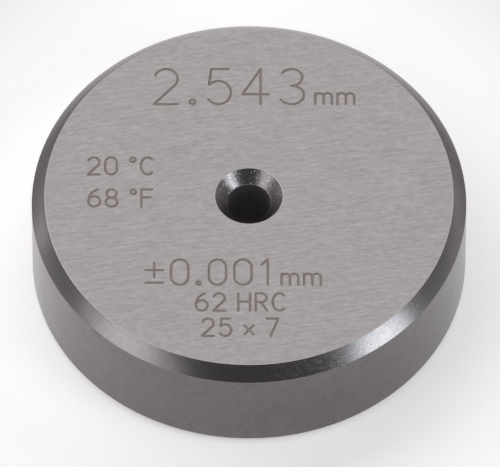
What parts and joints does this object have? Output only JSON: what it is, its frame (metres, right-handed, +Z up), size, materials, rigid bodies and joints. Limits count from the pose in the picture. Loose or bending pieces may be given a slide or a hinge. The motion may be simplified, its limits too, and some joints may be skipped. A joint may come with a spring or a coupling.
{
  "type": "setting ring gauge",
  "caption": "Flat round steel disc with a small calibrated through-bore, countersunk bore mouths and a chamfered rim, for setting bore-measuring instruments.",
  "frame": {"origin": "where the bore's axis meets the lower face, which the ring lies on", "axes": "+Z up along the bore's axis; the ring is round about Z, and +Y points away from the reader of the marks on the upper face"},
  "size_m": [0.025, 0.025, 0.007],
  "materials": {
    "ring_steel": "surface-ground faces and rim, turned chamfers, lapped bore"
  },
  "bodies": {
    "root": {"ring": "ring_steel"}
  },
  "joints": []
}
